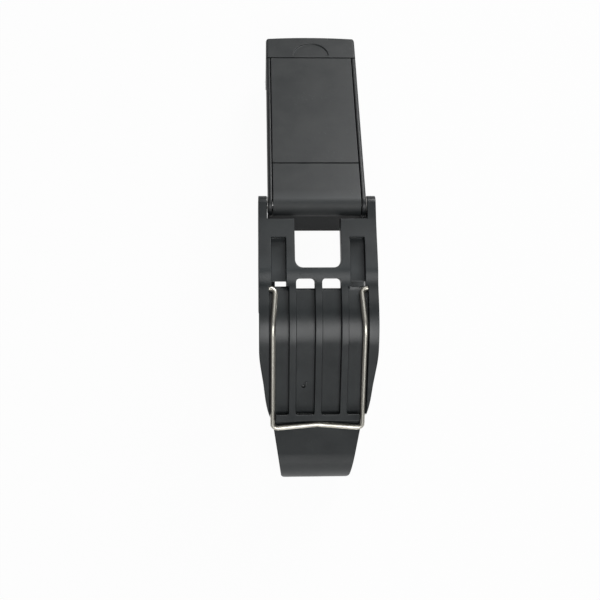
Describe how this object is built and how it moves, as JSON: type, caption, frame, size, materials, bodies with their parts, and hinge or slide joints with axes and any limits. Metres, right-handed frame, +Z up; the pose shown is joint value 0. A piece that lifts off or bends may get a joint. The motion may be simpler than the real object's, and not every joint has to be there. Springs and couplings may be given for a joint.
{
  "type": "controller phone clip",
  "caption": "Black plastic clip with a ribbed bracket that wraps a hand-held device, a tilting sprung phone clamp and a steel wire bail on its back.",
  "frame": {"origin": "under the middle of the clip, on the surface that it lies on", "axes": "+Z up, out of the back of the bracket; +Y towards the upper jaw of the phone clamp; +X across, along the hinge"},
  "size_m": [0.0364, 0.1494, 0.0515],
  "materials": {
    "moulding": "fine matte texture, a little worn",
    "pads": "matte foam rubber",
    "wire": "drawn stainless wire",
    "steel": "plated steel",
    "washers": "dark nylon"
  },
  "bodies": {
    "bracket": {"bracket": "moulding", "hinge_pin": "steel", "front_pad_left": "pads", "front_pad_right": "pads", "hook_pad": "pads"},
    "bail": {"wire_bail": "wire"},
    "clamp": {"clamp_housing": "moulding", "hinge_cover": "moulding", "rear_panel": "moulding", "friction_washers": "washers", "housing_screws": "steel", "rest_pad": "pads", "lower_jaw_pad": "pads", "spring_left": "steel", "spring_right": "steel"},
    "slider": {"slider": "moulding", "upper_jaw_pad": "pads"}
  },
  "joints": [
    {"name": "clamp_tilt", "type": "hinge", "parent": "bracket", "child": "clamp", "pos_m": [0, 0.00992, 0.04478], "axis": [1, 0, 0], "range_deg": [-14, 122]},
    {"name": "jaw_pull", "type": "slide", "parent": "clamp", "child": "slider", "axis": [0, 0.9057, -0.424], "range_m": [0, 0.028], "stiffness_N_per_m": 280, "springref_m": -0.021, "deforming": ["spring_left", "spring_right"]},
    {"name": "bail_swing", "type": "hinge", "parent": "bracket", "child": "bail", "pos_m": [0, -0.01712, 0.04928], "axis": [-1, 0, 0], "range_deg": [0, 100]}
  ]
}
